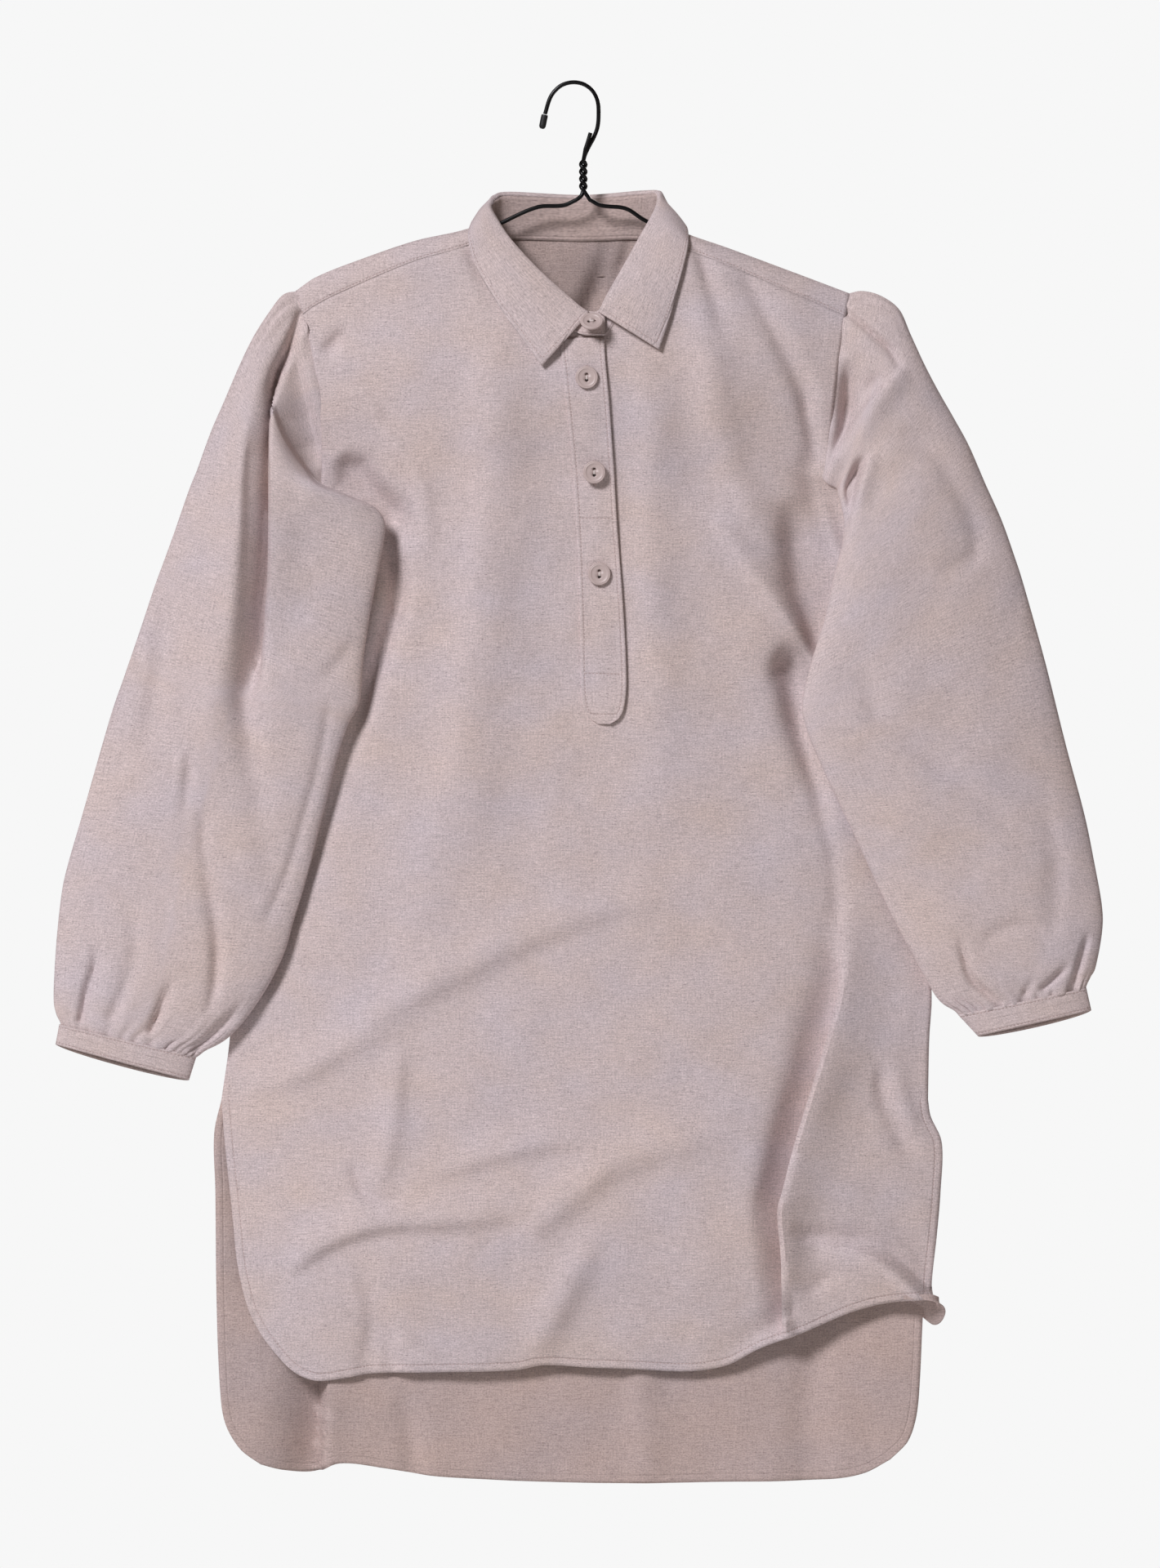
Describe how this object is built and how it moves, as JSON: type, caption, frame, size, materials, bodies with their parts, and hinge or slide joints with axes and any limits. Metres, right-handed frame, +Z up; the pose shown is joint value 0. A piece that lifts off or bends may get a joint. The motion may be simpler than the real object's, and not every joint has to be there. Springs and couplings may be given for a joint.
{
  "type": "nightshirt on a wire hanger",
  "caption": "Long pull-on nightshirt with a pointed collar, half placket, full gathered sleeves and side slits, hanging on a bent wire hanger.",
  "frame": {"origin": "the point under the top of the hanger's hook, where a rod or nail carries it", "axes": "+Z up, -Y towards the front of the nightshirt, +X to the viewer's right"},
  "size_m": [0.8342, 0.0676, 1.1169],
  "materials": {
    "brushed_cotton": "brushed plain weave, matt",
    "button_resin": "satin",
    "painted_wire": "semi-gloss black",
    "tip_rubber": "matt black"
  },
  "bodies": {
    "root": {"front": "brushed_cotton", "back": "brushed_cotton", "yoke": "brushed_cotton", "sleeve_left": "brushed_cotton", "sleeve_right": "brushed_cotton", "cuff_left": "brushed_cotton", "cuff_right": "brushed_cotton", "collar_stand": "brushed_cotton", "collar_fall": "brushed_cotton", "placket": "brushed_cotton", "button_collar": "button_resin", "button_1": "button_resin", "button_2": "button_resin", "button_3": "button_resin", "hanger_hook": "painted_wire", "hanger_frame": "painted_wire", "hanger_tip": "tip_rubber"}
  },
  "joints": []
}
